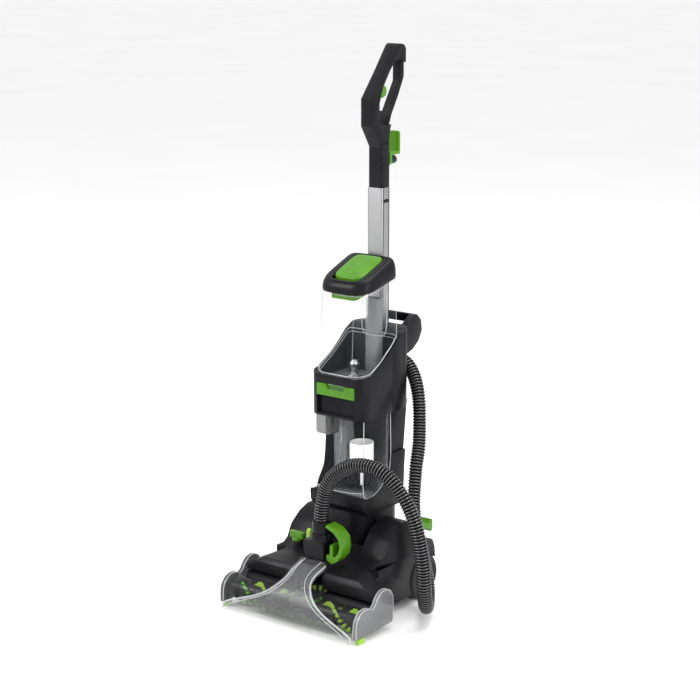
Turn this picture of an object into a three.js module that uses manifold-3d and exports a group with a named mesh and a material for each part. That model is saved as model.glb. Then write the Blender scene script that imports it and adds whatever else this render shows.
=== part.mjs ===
// Upright carpet washer: floor head with two brush rolls, reclining body with two tanks, pole and loop handle.
// Millimetres, +Z up, the front of the machine faces -Y, the floor is z = 0.
import * as THREE from "three";
import { mergeVertices } from "three/addons/utils/BufferGeometryUtils.js";
import Module from "manifold-3d";

const wasm = await Module();
wasm.setup();

// ---------------------------------------------------------------- driving dimensions
const CENTRE_Y = 24; // the whole part is moved this far back, so that its footprint is centred
const GAP = 0.4; // clearance between neighbouring pieces
const ROUND = 24; // sides of a round piece

const WHEEL = { y: 74, z: 47, r: 47, inner: 101, outer: 130 };
const AXLE_R = 4;
const PIVOT = { y: 62, z: 85, drum: 30, pin: 8 };
const ROLLER = { y: -64, r: 9, inner: 62, outer: 74 };

const ROLL_R = 27;
const CORE_R = 11;
const FRONT_ROLL = { y: -170, z: 29 };
const REAR_ROLL = { y: -114, z: 29 };
const ROLL_END = 156;
const HOOD_END = 160;
const CAP = { inner: 160.5, outer: 170 };
const GEAR = { teeth: 20, r: 28, half: 3, x: -148 };
const BELT = { x0: 103, x1: 111, motorR: 8, rollR: 12, thick: 2 };
const MOTOR = { y: -57, z: 40, r: 16 };

const NECK = { halfX: 56, front: -32, rear: 98 };
const TANK = { halfX: 63, front: -47, rear: 72, bottom: 453, topHalfX: 58, topFront: -33, topRear: 72 };
const LID_SLOPE = 0.21; // rise of the lid's lower edge per mm towards the back
const LID_Z = 629; // height of that edge at the front
const CUP = { halfX: 67, front: -51, rear: 112, bottom: 386, floor: 452 };
const SEAM_Y = 47;
const POLE = { halfX: 18, y0: 77, y1: 103, z0: 470, z1: 826, wall: 1.8 };
const STEM_HALF_X = 17.5;
const HOOK = { y: 106.6, z: 876, r: 8.4 };
const HOSE_R = 14.5;
const CUFF = { x: 6, y: -106 };
const PORT = { x0: -26, x1: 12, y: 134, z: 473 };

// ---------------------------------------------------------------- materials
function paint(color, roughness, metalness = 0) {
  return new THREE.MeshStandardMaterial({ color, roughness, metalness });
}
const black = paint(0x29272a, 0.45);
const darkGrey = paint(0x3c3a3d, 0.55);
const green = paint(0x6ab228, 0.35);
const lime = paint(0xbfe03c, 0.7);
const clear = paint(0xcdd3d6, 0.08);
const silver = paint(0xc6c8ca, 0.3, 0.9);
const steel = paint(0x9a9ca0, 0.35, 0.9);
const white = paint(0xe8e8e6, 0.4);
const grey = paint(0xa6a8aa, 0.45);
const rubber = paint(0x1a1a1a, 0.85);

// ---------------------------------------------------------------- solid helpers
function solid(source) {
  const geometry = source.index ? source.toNonIndexed() : source.clone();
  geometry.deleteAttribute("normal");
  geometry.deleteAttribute("uv");
  const merged = mergeVertices(geometry, 1e-4);
  return new wasm.Manifold(
    new wasm.Mesh({
      numProp: 3,
      vertProperties: new Float32Array(merged.attributes.position.array),
      triVerts: new Uint32Array(merged.index.array),
    }),
  );
}

function piece(name, body, material) {
  const made = body.getMesh();
  const geometry = new THREE.BufferGeometry();
  geometry.setAttribute("position", new THREE.BufferAttribute(made.vertProperties, 3));
  geometry.setIndex(new THREE.BufferAttribute(made.triVerts, 1));
  const faceted = geometry.toNonIndexed();
  faceted.computeVertexNormals();
  const mesh = new THREE.Mesh(faceted, material);
  mesh.name = name;
  return mesh;
}

function join(...bodies) {
  return bodies.reduce((sum, body) => sum.add(body));
}

function cut(body, ...tools) {
  return tools.reduce((rest, tool) => rest.subtract(tool), body);
}

function axes(geometry, x, y, z) {
  return geometry.applyMatrix4(new THREE.Matrix4().makeBasis(x, y, z));
}
const X = new THREE.Vector3(1, 0, 0);
const Y = new THREE.Vector3(0, 1, 0);
const Z = new THREE.Vector3(0, 0, 1);

function outline(points) {
  return new THREE.Shape(points.map(([u, v]) => new THREE.Vector2(u, v)));
}

// A side profile (y, z) drawn out along X.
function alongX(shape, x0, x1) {
  const geometry = new THREE.ExtrudeGeometry(shape, { depth: x1 - x0, bevelEnabled: false, curveSegments: 8 });
  return solid(axes(geometry, Y, Z, X).translate(x0, 0, 0));
}

// A front profile (x, z) drawn out along Y.
function alongY(shape, y0, y1) {
  const geometry = new THREE.ExtrudeGeometry(shape, { depth: y1 - y0, bevelEnabled: false, curveSegments: 8 });
  return solid(axes(geometry, X, Z, Y.clone().negate()).translate(0, y1, 0));
}

// A plan outline (x, y) drawn out along Z, in a number of layers.
function alongZ(shape, z0, z1, steps = 1) {
  return solid(alongZGeometry(shape, z0, z1, steps));
}

function alongZGeometry(shape, z0, z1, steps = 1) {
  const options = { depth: z1 - z0, bevelEnabled: false, curveSegments: 6, steps };
  return new THREE.ExtrudeGeometry(shape, options).translate(0, 0, z0);
}

function box(x0, x1, y0, y1, z0, z1) {
  const geometry = new THREE.BoxGeometry(x1 - x0, y1 - y0, z1 - z0);
  return solid(geometry.translate((x0 + x1) / 2, (y0 + y1) / 2, (z0 + z1) / 2));
}

function roundX(r, x0, x1, y, z, sides = ROUND) {
  const geometry = new THREE.CylinderGeometry(r, r, x1 - x0, sides).rotateZ(Math.PI / 2);
  return solid(geometry.translate((x0 + x1) / 2, y, z));
}

function roundY(r, y0, y1, x, z, sides = ROUND) {
  const geometry = new THREE.CylinderGeometry(r, r, y1 - y0, sides);
  return solid(geometry.translate(x, (y0 + y1) / 2, z));
}

function roundZ(r, z0, z1, x, y, sides = ROUND) {
  const geometry = new THREE.CylinderGeometry(r, r, z1 - z0, sides).rotateX(Math.PI / 2);
  return solid(geometry.translate(x, y, (z0 + z1) / 2));
}

// A profile of (radius, height) points turned about Z.
function turned(points, x, y, sides = ROUND) {
  const profile = points.map(([r, h]) => new THREE.Vector2(r, h));
  const geometry = new THREE.LatheGeometry(profile, sides).rotateX(Math.PI / 2);
  return solid(geometry.translate(x, y, 0));
}

// A profile of (radius, x) points turned about an axis along X.
function turnedX(points, y, z, sides = ROUND) {
  const profile = points.map(([r, h]) => new THREE.Vector2(r, h));
  const geometry = new THREE.LatheGeometry(profile, sides).rotateZ(-Math.PI / 2);
  return solid(geometry.translate(0, y, z));
}

// A rectangle centred on x = 0 with one corner radius at the front and another at the back.
function unevenShape(halfX, y0, y1, rFront, rRear) {
  const shape = new THREE.Shape();
  shape.moveTo(-halfX + rFront, y0);
  shape.lineTo(halfX - rFront, y0);
  shape.absarc(halfX - rFront, y0 + rFront, rFront, -Math.PI / 2, 0, false);
  shape.lineTo(halfX, y1 - rRear);
  shape.absarc(halfX - rRear, y1 - rRear, rRear, 0, Math.PI / 2, false);
  shape.lineTo(-halfX + rRear, y1);
  shape.absarc(-halfX + rRear, y1 - rRear, rRear, Math.PI / 2, Math.PI, false);
  shape.lineTo(-halfX, y0 + rFront);
  shape.absarc(-halfX + rFront, y0 + rFront, rFront, Math.PI, 1.5 * Math.PI, false);
  return shape;
}

function roundedShape(x0, x1, y0, y1, r) {
  const shape = new THREE.Shape();
  shape.moveTo(x0 + r, y0);
  shape.lineTo(x1 - r, y0);
  shape.absarc(x1 - r, y0 + r, r, -Math.PI / 2, 0, false);
  shape.lineTo(x1, y1 - r);
  shape.absarc(x1 - r, y1 - r, r, 0, Math.PI / 2, false);
  shape.lineTo(x0 + r, y1);
  shape.absarc(x0 + r, y1 - r, r, Math.PI / 2, Math.PI, false);
  shape.lineTo(x0, y0 + r);
  shape.absarc(x0 + r, y0 + r, r, Math.PI, 1.5 * Math.PI, false);
  return shape;
}

// Moves each vertex of a geometry by a rule.
function warp(geometry, rule) {
  const place = geometry.attributes.position;
  const point = new THREE.Vector3();
  for (let i = 0; i < place.count; i += 1) {
    point.fromBufferAttribute(place, i);
    rule(point);
    place.setXYZ(i, point.x, point.y, point.z);
  }
  return geometry;
}

function mirrorX(points) {
  return points.map(([x, z]) => [-x, z]).reverse();
}

// ---------------------------------------------------------------- floor head
function chassis() {
  const plate = alongZ(roundedShape(-96, 96, -74, 118, 8), 12, 17);
  const blocks = [-1, 1].map((side) =>
    cut(
      box(side * 77 - 8, side * 77 + 8, 60, 88, 16, 58),
      roundX(AXLE_R + GAP, side * 77 - 9, side * 77 + 9, WHEEL.y, WHEEL.z, 16),
    ),
  );
  const slots = [-1, 1].map((side) => {
    const middle = (side * (ROLLER.inner + ROLLER.outer)) / 2;
    return box(middle - 7, middle + 7, ROLLER.y - 11, ROLLER.y + 11, 10, 19);
  });
  const pins = [-1, 1].map((side) => {
    const middle = (side * (ROLLER.inner + ROLLER.outer)) / 2;
    const hangers = [-10, 10].map((d) => box(middle + d - 2.6, middle + d + 2.6, ROLLER.y - 5, ROLLER.y + 5, 5, 13));
    return join(roundX(2, middle - 10, middle + 10, ROLLER.y, ROLLER.r, 8), ...hangers);
  });
  return piece("chassis", join(cut(join(plate, ...blocks), ...slots), ...pins), darkGrey);
}

function roller(name, side) {
  const body = cut(
    roundX(ROLLER.r, -6, 6, ROLLER.y, ROLLER.r, 24),
    roundX(2 + GAP, -7, 7, ROLLER.y, ROLLER.r, 12),
  ).translate([(side * (ROLLER.inner + ROLLER.outer)) / 2, 0, 0]);
  return piece(name, body, grey);
}

const CHEEK = [
  [-82, 20],
  [-82, 107],
  [-57, 117],
  [-37, 145],
  [-20, 162],
  [3, 173],
  [30, 175],
  [46, 167],
  [49.6, 140],
  [104, 118],
  [112, 100],
  [115, 70],
  [115, 20],
];
const CHEEK_INSIDE = [
  [-78, 19],
  [-78, 104],
  [-60, 112],
  [-36, 139],
  [-17, 157],
  [4, 168.5],
  [28, 170],
  [42, 163],
  [45.6, 137],
  [101, 114],
  [108, 98],
  [111, 70],
  [111, 19],
];
const BROW = [
  [-140, 64],
  [-140, 86],
  [-133, 96],
  [-96, 103],
  [-57, 117],
  [-36, 128],
  [-36, 20],
  [-82, 20],
  [-82, 64],
];
const BROW_INSIDE = [
  [-78, 19],
  [-78, 101],
  [-57, 112],
  [-40, 120],
  [-40, 19],
];

// The wedges that lean a cheek's outer face inwards towards its top and its front.
function cheekSlopes(side, inset) {
  const top = [
    [129 - inset, 108],
    [115 - inset, 176],
    [115 - inset, 200],
    [150, 200],
    [150, 108],
  ];
  const front = [
    [129 - inset, -8],
    [113 - inset, -92],
    [150, -92],
    [150, -8],
  ];
  return [
    alongY(outline(side > 0 ? top : mirrorX(top)), -92, 130),
    alongZ(outline(side > 0 ? front : mirrorX(front)), 104, 200),
  ];
}

function baseCover() {
  const brow = alongX(outline(BROW), -158, 158);
  const sideCuts = [-1, 1].map((side) => {
    const wedge = [
      [100, 104],
      [160, 76],
      [160, 140],
      [100, 140],
    ];
    return alongY(outline(side > 0 ? wedge : mirrorX(wedge)), -141, -30);
  });
  const corners = [-1, 1].map((side) => {
    const x0 = side > 0 ? 128 : -160;
    return box(x0, x0 + 32, -92, -30, 10, 140);
  });
  const cheeks = [-1, 1].map((side) => {
    const x0 = side > 0 ? 64 : -128;
    const well = roundX(WHEEL.r + 3, side > 0 ? 98 : -131, side > 0 ? 131 : -98, WHEEL.y, WHEEL.z);
    const behind = box(side > 0 ? 98 : -131, side > 0 ? 131 : -98, WHEEL.y - 20, 120, 10, WHEEL.z + 30);
    return cut(alongX(outline(CHEEK), x0, x0 + 64), well, behind, ...cheekSlopes(side, 0));
  });
  const hollows = [-1, 1].flatMap((side) => {
    const wide = alongX(outline(CHEEK_INSIDE), side > 0 ? 68 : -124, side > 0 ? 124 : -68);
    const limit = box(side > 0 ? 60 : -130, side > 0 ? 130 : -60, -90, 22, 0, 200);
    const above = box(side > 0 ? 60 : -130, side > 0 ? 130 : -60, 21, 120, 103, 200);
    const inner = box(side > 0 ? 60 : -94, side > 0 ? 94 : -60, 21, 120, 0, 104);
    return [cut(wide, ...cheekSlopes(side, 4)).intersect(join(limit, above, inner))];
  });
  const motorRoom = alongX(outline(BROW_INSIDE), -60, 60);
  const notch = box(-34, 34, -150, -93, 60, 140);
  const trunnions = roundX(PIVOT.pin + GAP, -70, 70, PIVOT.y, PIVOT.z);
  const shaftWay = roundX(6, 55, 72, MOTOR.y, MOTOR.z, 16);
  const axleWay = roundX(AXLE_R + GAP, -100, 100, WHEEL.y, WHEEL.z, 16);
  const beltWay = box(BELT.x0 - 2, BELT.x1 + 2, -84, -76, 14, 56);
  const knobSeat = roundZ(11, 100, 122, -80, -74);
  const tabSeat = box(-56, -46, -78, -68, 100, 121);
  const shell = join(cut(brow, ...sideCuts, ...corners), ...cheeks);
  const lugs = [-1, 1].map((side) => box(side * 102 - 18, side * 102 + 18, 45, 53.5, 140, 156));
  return piece(
    "base_cover",
    join(
      cut(shell, ...hollows, motorRoom, notch, trunnions, shaftWay, axleWay, beltWay),
      knobSeat,
      tabSeat,
      ...lugs,
    ),
    black,
  );
}

function lobes(grow) {
  const arc = (centre, r, from, to, steps) => {
    const points = [];
    for (let i = 0; i <= steps; i += 1) {
      const a = from + ((to - from) * i) / steps;
      points.push([centre.y + r * Math.cos(a), centre.z + r * Math.sin(a)]);
    }
    return points;
  };
  const r = ROLL_R + 2 + grow;
  return [
    [REAR_ROLL.y + r, 12 - grow],
    ...arc(REAR_ROLL, r, 0, Math.PI * 0.62, 7),
    ...arc(FRONT_ROLL, r, Math.PI * 0.38, Math.PI, 7),
    [FRONT_ROLL.y - r, 12 - grow],
  ];
}

function brushHood() {
  const outside = alongX(outline(lobes(2.4)), -HOOD_END, HOOD_END);
  const inside = alongX(outline(lobes(0)), -HOOD_END - 1, HOOD_END + 1);
  const under = box(-HOOD_END - 1, HOOD_END + 1, -220, -70, 0, 12.5);
  const beltWay = box(BELT.x0 - 2, BELT.x1 + 2, -98, -70, 14, 58);
  return piece("brush_hood", cut(outside, inside, under, beltWay), clear);
}

const CAP_SIDE = [
  [-93, 14],
  [-91, 40],
  [-92, 66],
  [-100, 80],
  [-114, 86],
  [-130, 84],
  [-142, 74],
  [-150, 63],
  [-158, 59],
  [-170, 64],
  [-184, 65],
  [-197, 60],
  [-207, 48],
  [-210, 34],
  [-210, 12],
];

function endCap(name, side) {
  const x0 = side > 0 ? CAP.inner : -CAP.outer;
  const body = alongX(outline(CAP_SIDE), x0, x0 + CAP.outer - CAP.inner);
  const bearings = [FRONT_ROLL, REAR_ROLL].map((roll) =>
    roundX(4.5, side > 0 ? 155 : -164.5, side > 0 ? 164.5 : -155, roll.y, roll.z, 16),
  );
  return piece(name, cut(body, ...bearings), clear);
}

function edgeBrush(name, side) {
  const x0 = side > 0 ? CAP.inner : -CAP.outer;
  return piece(name, box(x0, x0 + CAP.outer - CAP.inner, -202, -184, 1, 11.6), lime);
}

// Half-width of the nozzle at each height, from the wide lip to the narrow mouth.
const NOZZLE_FLARE = [
  [159.5, 4],
  [159.5, 15],
  [137, 25],
  [110, 35],
  [84, 45],
  [65, 55],
  [51, 65],
  [40, 76],
  [31, 88],
  [30, 120],
];
const NOZZLE_FRONT = [
  [-123, 112],
  [-160, 99],
  [-190, 73],
  [-210, 41],
  [-219, 10],
  [-220, 4],
];
const NOZZLE_BACK = [
  [-213, 4],
  [-210, 12],
  [-203.5, 38],
  [-184.5, 67],
  [-156, 88],
  [-123, 96],
];

function nozzle() {
  const plan = outline([...NOZZLE_FLARE, ...mirrorX(NOZZLE_FLARE)]);
  const band = outline([...NOZZLE_FRONT, ...NOZZLE_BACK]);
  const shell = alongY(plan, -221, -120).intersect(alongX(band, -165, 165));
  const narrower = NOZZLE_FLARE.map(([x, z]) => [x - 3.5, z - (z < 5 ? 2 : 0)]);
  const innerPlan = outline([...narrower, ...mirrorX(narrower)]);
  const channel = outline([
    [-118, 109],
    [-159.5, 96.6],
    [-188, 71.5],
    [-207.6, 40],
    [-216.6, 10],
    [-217.6, 2],
    [-215.4, 2],
    [-212.4, 12],
    [-206, 39],
    [-186.5, 69.5],
    [-157, 90.4],
    [-118, 98.4],
  ]);
  const hollow = alongY(innerPlan, -222, -110).intersect(alongX(channel, -165, 165));
  const collar = box(-30, 30, -126, -98, 93, 112);
  const mouth = join(box(-25, 25, -121.5, -102, 98, 113), box(-26, 26, -126.5, -118, 98.6, 108));
  return piece("nozzle", cut(join(cut(shell, hollow), collar), mouth), clear);
}

// A roll: core with pins, and twisted rows of bristle tufts drawn as ridges.
function tufts(x0, x1, turn) {
  const rows = 6;
  const points = [];
  for (let i = 0; i < rows; i += 1) {
    const a = (i * 2 * Math.PI) / rows;
    const half = 0.2;
    points.push([CORE_R * Math.cos(a - 0.32), CORE_R * Math.sin(a - 0.32)]);
    points.push([ROLL_R * Math.cos(a - half / 2), ROLL_R * Math.sin(a - half / 2)]);
    points.push([ROLL_R * Math.cos(a + half / 2), ROLL_R * Math.sin(a + half / 2)]);
    points.push([CORE_R * Math.cos(a + 0.32), CORE_R * Math.sin(a + 0.32)]);
  }
  const geometry = warp(alongZGeometry(outline(points), x0, x1, 4), (p) => {
    const a = (turn * (p.z - x0)) / (x1 - x0);
    const { x, y } = p;
    p.x = x * Math.cos(a) - y * Math.sin(a);
    p.y = x * Math.sin(a) + y * Math.cos(a);
  });
  return solid(axes(geometry, Y, Z, X));
}

function gear(roll, start) {
  const points = [];
  const pitch = (2 * Math.PI) / GEAR.teeth;
  for (let i = 0; i < GEAR.teeth; i += 1) {
    const a = start + i * pitch;
    points.push([(GEAR.r - 1.2) * Math.cos(a - pitch * 0.3), (GEAR.r - 1.2) * Math.sin(a - pitch * 0.3)]);
    points.push([(GEAR.r + 0.7) * Math.cos(a - pitch * 0.16), (GEAR.r + 0.7) * Math.sin(a - pitch * 0.16)]);
    points.push([(GEAR.r + 0.7) * Math.cos(a + pitch * 0.16), (GEAR.r + 0.7) * Math.sin(a + pitch * 0.16)]);
    points.push([(GEAR.r - 1.2) * Math.cos(a + pitch * 0.3), (GEAR.r - 1.2) * Math.sin(a + pitch * 0.3)]);
  }
  const disc = alongX(outline(points), GEAR.x - GEAR.half, GEAR.x + GEAR.half);
  return disc.translate([0, roll.y, roll.z]);
}

function frontRoll() {
  const core = join(
    roundX(CORE_R - 0.5, -ROLL_END, ROLL_END, FRONT_ROLL.y, FRONT_ROLL.z, 16),
    roundX(4, -163, 163, FRONT_ROLL.y, FRONT_ROLL.z, 16),
  );
  const bristles = tufts(-140, 152, 1.6).translate([0, FRONT_ROLL.y, FRONT_ROLL.z]);
  return piece("front_brush_roll", join(core, bristles, gear(FRONT_ROLL, 0)), lime);
}

function rearRoll() {
  const core = join(
    roundX(CORE_R - 0.5, -ROLL_END, ROLL_END, REAR_ROLL.y, REAR_ROLL.z, 16),
    roundX(4, -163, 163, REAR_ROLL.y, REAR_ROLL.z, 16),
    roundX(BELT.rollR, BELT.x0 - 1, BELT.x1 + 1, REAR_ROLL.y, REAR_ROLL.z, 20),
  );
  const left = tufts(-140, BELT.x0 - 3, -1.4).translate([0, REAR_ROLL.y, REAR_ROLL.z]);
  const right = tufts(BELT.x1 + 3, 152, -0.3).translate([0, REAR_ROLL.y, REAR_ROLL.z]);
  return piece("rear_brush_roll", join(core, left, right, gear(REAR_ROLL, Math.PI / GEAR.teeth)), lime);
}

function brushMotor() {
  const can = roundX(MOTOR.r, -16, 56, MOTOR.y, MOTOR.z);
  const nose = roundX(5.6, 55, 60, MOTOR.y, MOTOR.z, 16);
  const foot = box(-10, 50, MOTOR.y - 10, MOTOR.y + 10, 17.4, 30);
  return piece("brush_motor", join(can, nose, foot), steel);
}

function motorPulley() {
  const shaft = roundX(3, 60.5, BELT.x1 + 2, MOTOR.y, MOTOR.z, 12);
  const wheel = roundX(BELT.motorR, BELT.x0 - 1, BELT.x1 + 1, MOTOR.y, MOTOR.z, 20);
  return piece("motor_pulley", join(shaft, wheel), steel);
}

// The belt's loop: a band round both pulleys, with straight runs along their common tangents.
function beltLoop(extra) {
  const from = { y: MOTOR.y, z: MOTOR.z, r: BELT.motorR + extra };
  const to = { y: REAR_ROLL.y, z: REAR_ROLL.z, r: BELT.rollR + extra };
  const dy = to.y - from.y;
  const dz = to.z - from.z;
  const heading = Math.atan2(dz, dy);
  const lean = Math.acos((from.r - to.r) / Math.hypot(dy, dz));
  const points = [];
  for (let i = 0; i <= 8; i += 1) {
    const a = heading + lean + ((2 * Math.PI - 2 * lean) * i) / 8;
    points.push([from.y + from.r * Math.cos(a), from.z + from.r * Math.sin(a)]);
  }
  for (let i = 0; i <= 10; i += 1) {
    const a = heading - lean + (2 * lean * i) / 10;
    points.push([to.y + to.r * Math.cos(a), to.z + to.r * Math.sin(a)]);
  }
  return outline(points);
}

function driveBelt() {
  const band = cut(
    alongX(beltLoop(0.6 + BELT.thick), BELT.x0, BELT.x1),
    alongX(beltLoop(0.6), BELT.x0 - 1, BELT.x1 + 1),
  );
  return piece("drive_belt", band, rubber);
}

function pump() {
  const body = join(
    roundX(13, -56, -26, MOTOR.y, 36, 20),
    box(-54, -30, MOTOR.y - 9, MOTOR.y + 9, 17.4, 30),
    roundZ(3.5, 40, 62, -40, MOTOR.y, 12),
  );
  return piece("water_pump", body, darkGrey);
}

function axle() {
  return piece("axle", roundX(AXLE_R, -127, 127, WHEEL.y, WHEEL.z, 16), steel);
}

function wheel(name, side) {
  const { inner, outer, r } = WHEEL;
  const hole = AXLE_R + GAP;
  const profile = [
    [hole, inner],
    [r - 2, inner],
    [r, inner + 2],
    [r, outer - 4],
    [r - 4, outer],
    [r - 10, outer],
    [r - 13, outer - 4],
    [12, outer - 4],
    [10, outer],
    [0, outer],
    [0, inner + 27],
    [hole, inner + 27],
  ];
  const body = turnedX([...profile, profile[0]], 0, 0, 32);
  const placed = (side > 0 ? body : body.mirror([1, 0, 0])).translate([0, WHEEL.y, WHEEL.z]);
  return piece(name, placed, black);
}

function pedal(name, side) {
  const plate = outline([
    [58, 150],
    [70, 155],
    [94, 153],
    [103, 160],
    [109, 158],
    [110, 137],
    [104, 133],
    [96, 142],
    [70, 148],
    [60, 146],
  ]);
  const x0 = side > 0 ? 86 : -124;
  const body = join(alongX(plate, x0, x0 + 38), roundX(3.6, x0, x0 + 38, 57.6, 149, 16));
  return piece(name, body, green);
}

function hoseConnector() {
  const body = join(
    box(-24, 24, -124, -92, 112.4, 150),
    turned(
      [
        [0, 149],
        [21, 149],
        [21, 160],
        [18.5, 166],
        [0, 166],
      ],
      CUFF.x,
      CUFF.y,
    ),
  );
  const hinge = roundY(2.6, -116, -96, 31, 120, 12);
  const arm = box(22, 30, -112, -100, 114, 124);
  return piece("hose_connector", join(body, arm, hinge), black);
}

function hoseLever() {
  const shape = outline([
    [29, 128],
    [29, 117],
    [42, 111],
    [54, 118],
    [65, 132],
    [69, 149],
    [66, 168],
    [52, 182],
    [29, 189],
    [26, 184],
    [46, 176],
    [58, 164],
    [61, 149],
    [57, 136],
    [50, 127],
    [44, 126],
    [44, 150],
    [38, 150],
    [37, 128],
  ]);
  const clearHinge = join(roundY(3.2, -117, -95, 31, 120, 12), box(20, 31, -114, -98, 112, 126));
  const rib = box(54, 59, -108, -104, 140, 162);
  return piece("hose_lever", cut(join(alongY(shape, -120, -92), rib), clearHinge), green);
}

function hoseCuff() {
  const body = turned(
    [
      [HOSE_R + 0.5, 166.5],
      [18.5, 166.5],
      [18.5, 180],
      [17, 190],
      [HOSE_R + 0.5, 190],
      [HOSE_R + 0.5, 166.5],
    ],
    CUFF.x,
    CUFF.y,
  );
  return piece("hose_cuff", body, rubber);
}

function selectorKnob() {
  const body = join(
    roundZ(10.5, 122.4, 129, -80, -74),
    alongZ(roundedShape(-97, -63, -80, -68, 5), 128, 140),
  );
  return piece("selector_knob", body, green);
}

function selectorTab() {
  const blade = [
    [-77, 125.4],
    [-69, 125.4],
    [-67, 148],
    [-71, 152],
    [-76, 148],
  ];
  return piece("selector_tab", join(alongX(outline(blade), -55, -47), roundX(4, -55, -47, -73, 125.4, 16)), lime);
}

// ---------------------------------------------------------------- reclining body
const TANK_UNDER = [
  [-45, 234],
  [-38, 227],
  [-10, 228],
  [16, 240],
  [37, 262],
  [46, 278],
];

// Outline of the clean tank's foot, rounder at the front than at the back.
function tankShape(grow) {
  return unevenShape(TANK.halfX + grow, TANK.front - grow, TANK.rear + grow, 27 + grow, 6 + grow);
}

function rimCutter() {
  const rim = [
    [-60, 466],
    [-50, 469],
    [-20, 476],
    [20, 497],
    [45, 515],
    [70, 536],
    [92, 547],
    [118, 552],
    [118, 620],
    [-60, 620],
  ];
  return alongX(outline(rim), -90, 90);
}

function cup() {
  const outside = alongZ(roundedShape(-CUP.halfX, CUP.halfX, CUP.front, CUP.rear, 24), CUP.bottom, 560);
  const pocket = alongZ(tankShape(0.6), CUP.floor, 570);
  return cut(outside, pocket, rimCutter());
}

function midHousing() {
  const front = box(-80, 80, -60, SEAM_Y - 0.2, 380, 560);
  const recess = box(-46.5, 46.5, -60, -42, 391, 453);
  const under = alongZ(roundedShape(-56, 56, -40, 40, 12), 380, 440);
  return piece("mid_housing", cut(cup().intersect(front), recess, under), black);
}

function tankLatch() {
  const shape = outline([
    [-45.5, 452],
    [-24, 452],
    [-19, 442],
    [19, 442],
    [24, 452],
    [45.5, 452],
    [45.5, 428],
    [-45.5, 428],
  ]);
  return piece("tank_latch", alongY(shape, -53.5, -48), green);
}

function spine() {
  const drum = roundX(PIVOT.drum, -NECK.halfX, NECK.halfX, PIVOT.y, PIVOT.z, 32);
  const pins = roundX(PIVOT.pin, -67.5, 67.5, PIVOT.y, PIVOT.z);
  const shoulders = roundX(16, -63.4, 63.4, PIVOT.y, PIVOT.z);
  const neck = alongZ(roundedShape(-NECK.halfX, NECK.halfX, NECK.front, NECK.rear, 36), 88, 212);
  const cradle = alongX(
    outline([
      [-34, 190],
      [-48, 206],
      [-49, 226],
      [-45.5, 229],
      ...TANK_UNDER.slice(1).map(([y, z]) => [y, z - 0.6]),
      [46.6, 300],
      [94, 300],
      [91, 268],
      [88, 205],
      [80, 190],
    ]),
    -66,
    66,
  );
  const back = alongX(
    outline([
      [SEAM_Y + 0.2, 230],
      [SEAM_Y + 0.2, 400],
      [108, 400],
      [105, 386],
      [92, 268],
      [90, 230],
    ]),
    -60,
    60,
  );
  const top = cup().intersect(box(-80, 80, SEAM_Y + 0.2, 130, 380, 560));
  const slot = box(-POLE.halfX - GAP, POLE.halfX + GAP, POLE.y0 - GAP, POLE.y1 + GAP, POLE.z0 - 0.5, 600);
  const duct = join(box(-30, 30, 58, 84, 232, 440), box(-18, 18, 40, 60, 396, 430));
  const motorRoom = roundZ(41, 60, 196, 0, 22, 32);
  const ringed = join(cut(join(drum, neck, cradle, back), motorRoom), shoulders, pins);
  const motorWay = roundZ(41, 60, 196, 0, 22, 32).intersect(box(-60, 60, -40, 90, 60, 196));
  return piece("spine", cut(join(cut(ringed, motorWay), top), slot, duct), black);
}

function carryHandle() {
  const side = outline([
    [112.6, 487],
    [140, 495],
    [160, 509],
    [172, 530],
    [168, 553],
    [155, 565],
    [141, 566],
    [112.6, 548],
  ]);
  const body = alongX(side, -52, 52);
  const under = outline([
    [100, 470],
    [100, 600],
    [146, 600],
    [146, 548],
    [180, 542],
    [180, 470],
  ]);
  const grip = alongX(under, -38, 38);
  return piece("carry_handle", cut(body, grip), black);
}

function dirtyTank() {
  const side = [[-45, 385.4], ...TANK_UNDER, [46, 385.4]];
  const inside = [
    [-42.6, 386],
    [-42.6, 235],
    [-37, 229.6],
    [-10.6, 230.6],
    [14.6, 242],
    [34.8, 263.4],
    [43.6, 279],
    [43.6, 386],
  ];
  const plan = alongZ(roundedShape(-64.5, 64.5, -45, 46, 14), 200, 400);
  const innerPlan = alongZ(roundedShape(-62.1, 62.1, -42.6, 43.6, 11.6), 200, 400);
  const body = cut(
    alongX(outline(side), -65, 65).intersect(plan),
    alongX(outline(inside), -64, 64).intersect(innerPlan),
  );
  return piece("dirty_tank", body, clear);
}

function dirtyDuct() {
  const walls = cut(box(-50, -18, 8, 34, 268, 385.2), box(-47.5, -20.5, 10.5, 31.5, 262, 386));
  return piece("tank_duct", walls, grey);
}

function floatCup() {
  const body = turned(
    [
      [0, 284],
      [20, 284],
      [24, 292],
      [24, 330],
      [21.6, 330],
      [21.6, 294],
      [0, 290],
    ],
    26,
    0,
    24,
  );
  const foot = roundZ(3, 240, 285, 26, 0, 12);
  return piece("float_cup", join(body, foot), white);
}

// Height of the lid's lower edge at a given y.
function lidEdge(y) {
  return LID_Z + LID_SLOPE * (y + 50);
}

function cleanTank() {
  const shellOf = (inset, bottom) => {
    const geometry = alongZGeometry(tankShape(-inset), 0, 1, 1);
    const depth = (TANK.topRear - TANK.topFront) / (TANK.rear - TANK.front);
    return solid(
      warp(geometry, (p) => {
        const top = p.z > 0.5;
        if (top) {
          p.x *= TANK.topHalfX / TANK.halfX;
          p.y = TANK.topFront + (p.y - TANK.front) * depth;
          p.z = lidEdge(p.y) - 0.4 + (inset > 0 ? 3 : 0);
        } else {
          p.z = bottom;
        }
      }),
    );
  };
  return piece("clean_tank", cut(shellOf(0, TANK.bottom), shellOf(2.2, TANK.bottom + 2.4)), clear);
}

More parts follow.
